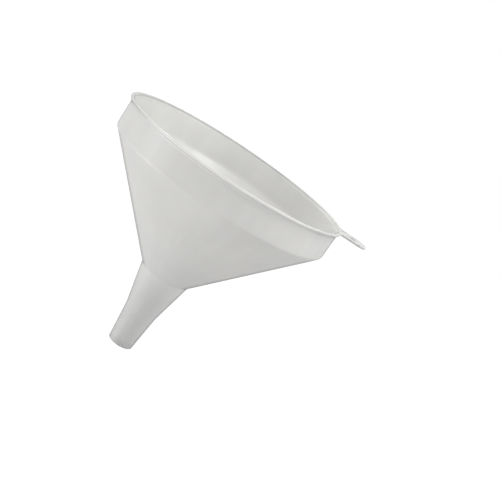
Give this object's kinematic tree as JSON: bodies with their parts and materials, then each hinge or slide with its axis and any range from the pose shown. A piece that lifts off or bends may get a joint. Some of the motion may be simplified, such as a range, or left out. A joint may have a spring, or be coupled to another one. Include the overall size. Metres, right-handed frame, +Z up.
{
  "type": "buchner funnel",
  "caption": "Conical laboratory funnel with a short upright band, flared lip, hanging tab and tapered stem, holding a lift-out perforated plate and filter paper.",
  "frame": {"origin": "middle of the bottom of the object's bounding box, level with the stem's outlet. The funnel's own axis is the line x = -0.0120 m, y = 0, because the hanging tab lengthens the box towards +X", "axes": "+Z up the funnel's axis, out of the mouth; +X towards the hanging tab; the object is its own mirror image across the XZ plane"},
  "size_m": [0.224, 0.2, 0.1841],
  "materials": {
    "natural_polypropylene": "milky translucent natural polypropylene with a soft moulded sheen",
    "plate_polypropylene": "white polypropylene, satin",
    "filter_paper": "off-white unglazed cellulose"
  },
  "bodies": {
    "funnel": {"funnel_body": "natural_polypropylene"},
    "plate": {"perforated_plate": "plate_polypropylene"},
    "paper": {"filter_paper": "filter_paper"}
  },
  "joints": [
    {"name": "plate_lift", "type": "slide", "parent": "funnel", "child": "plate", "axis": [0, 0, 1], "range_m": [0, 0.11]},
    {"name": "paper_lift", "type": "slide", "parent": "plate", "child": "paper", "axis": [0, 0, 1], "range_m": [0, 0.1]}
  ]
}
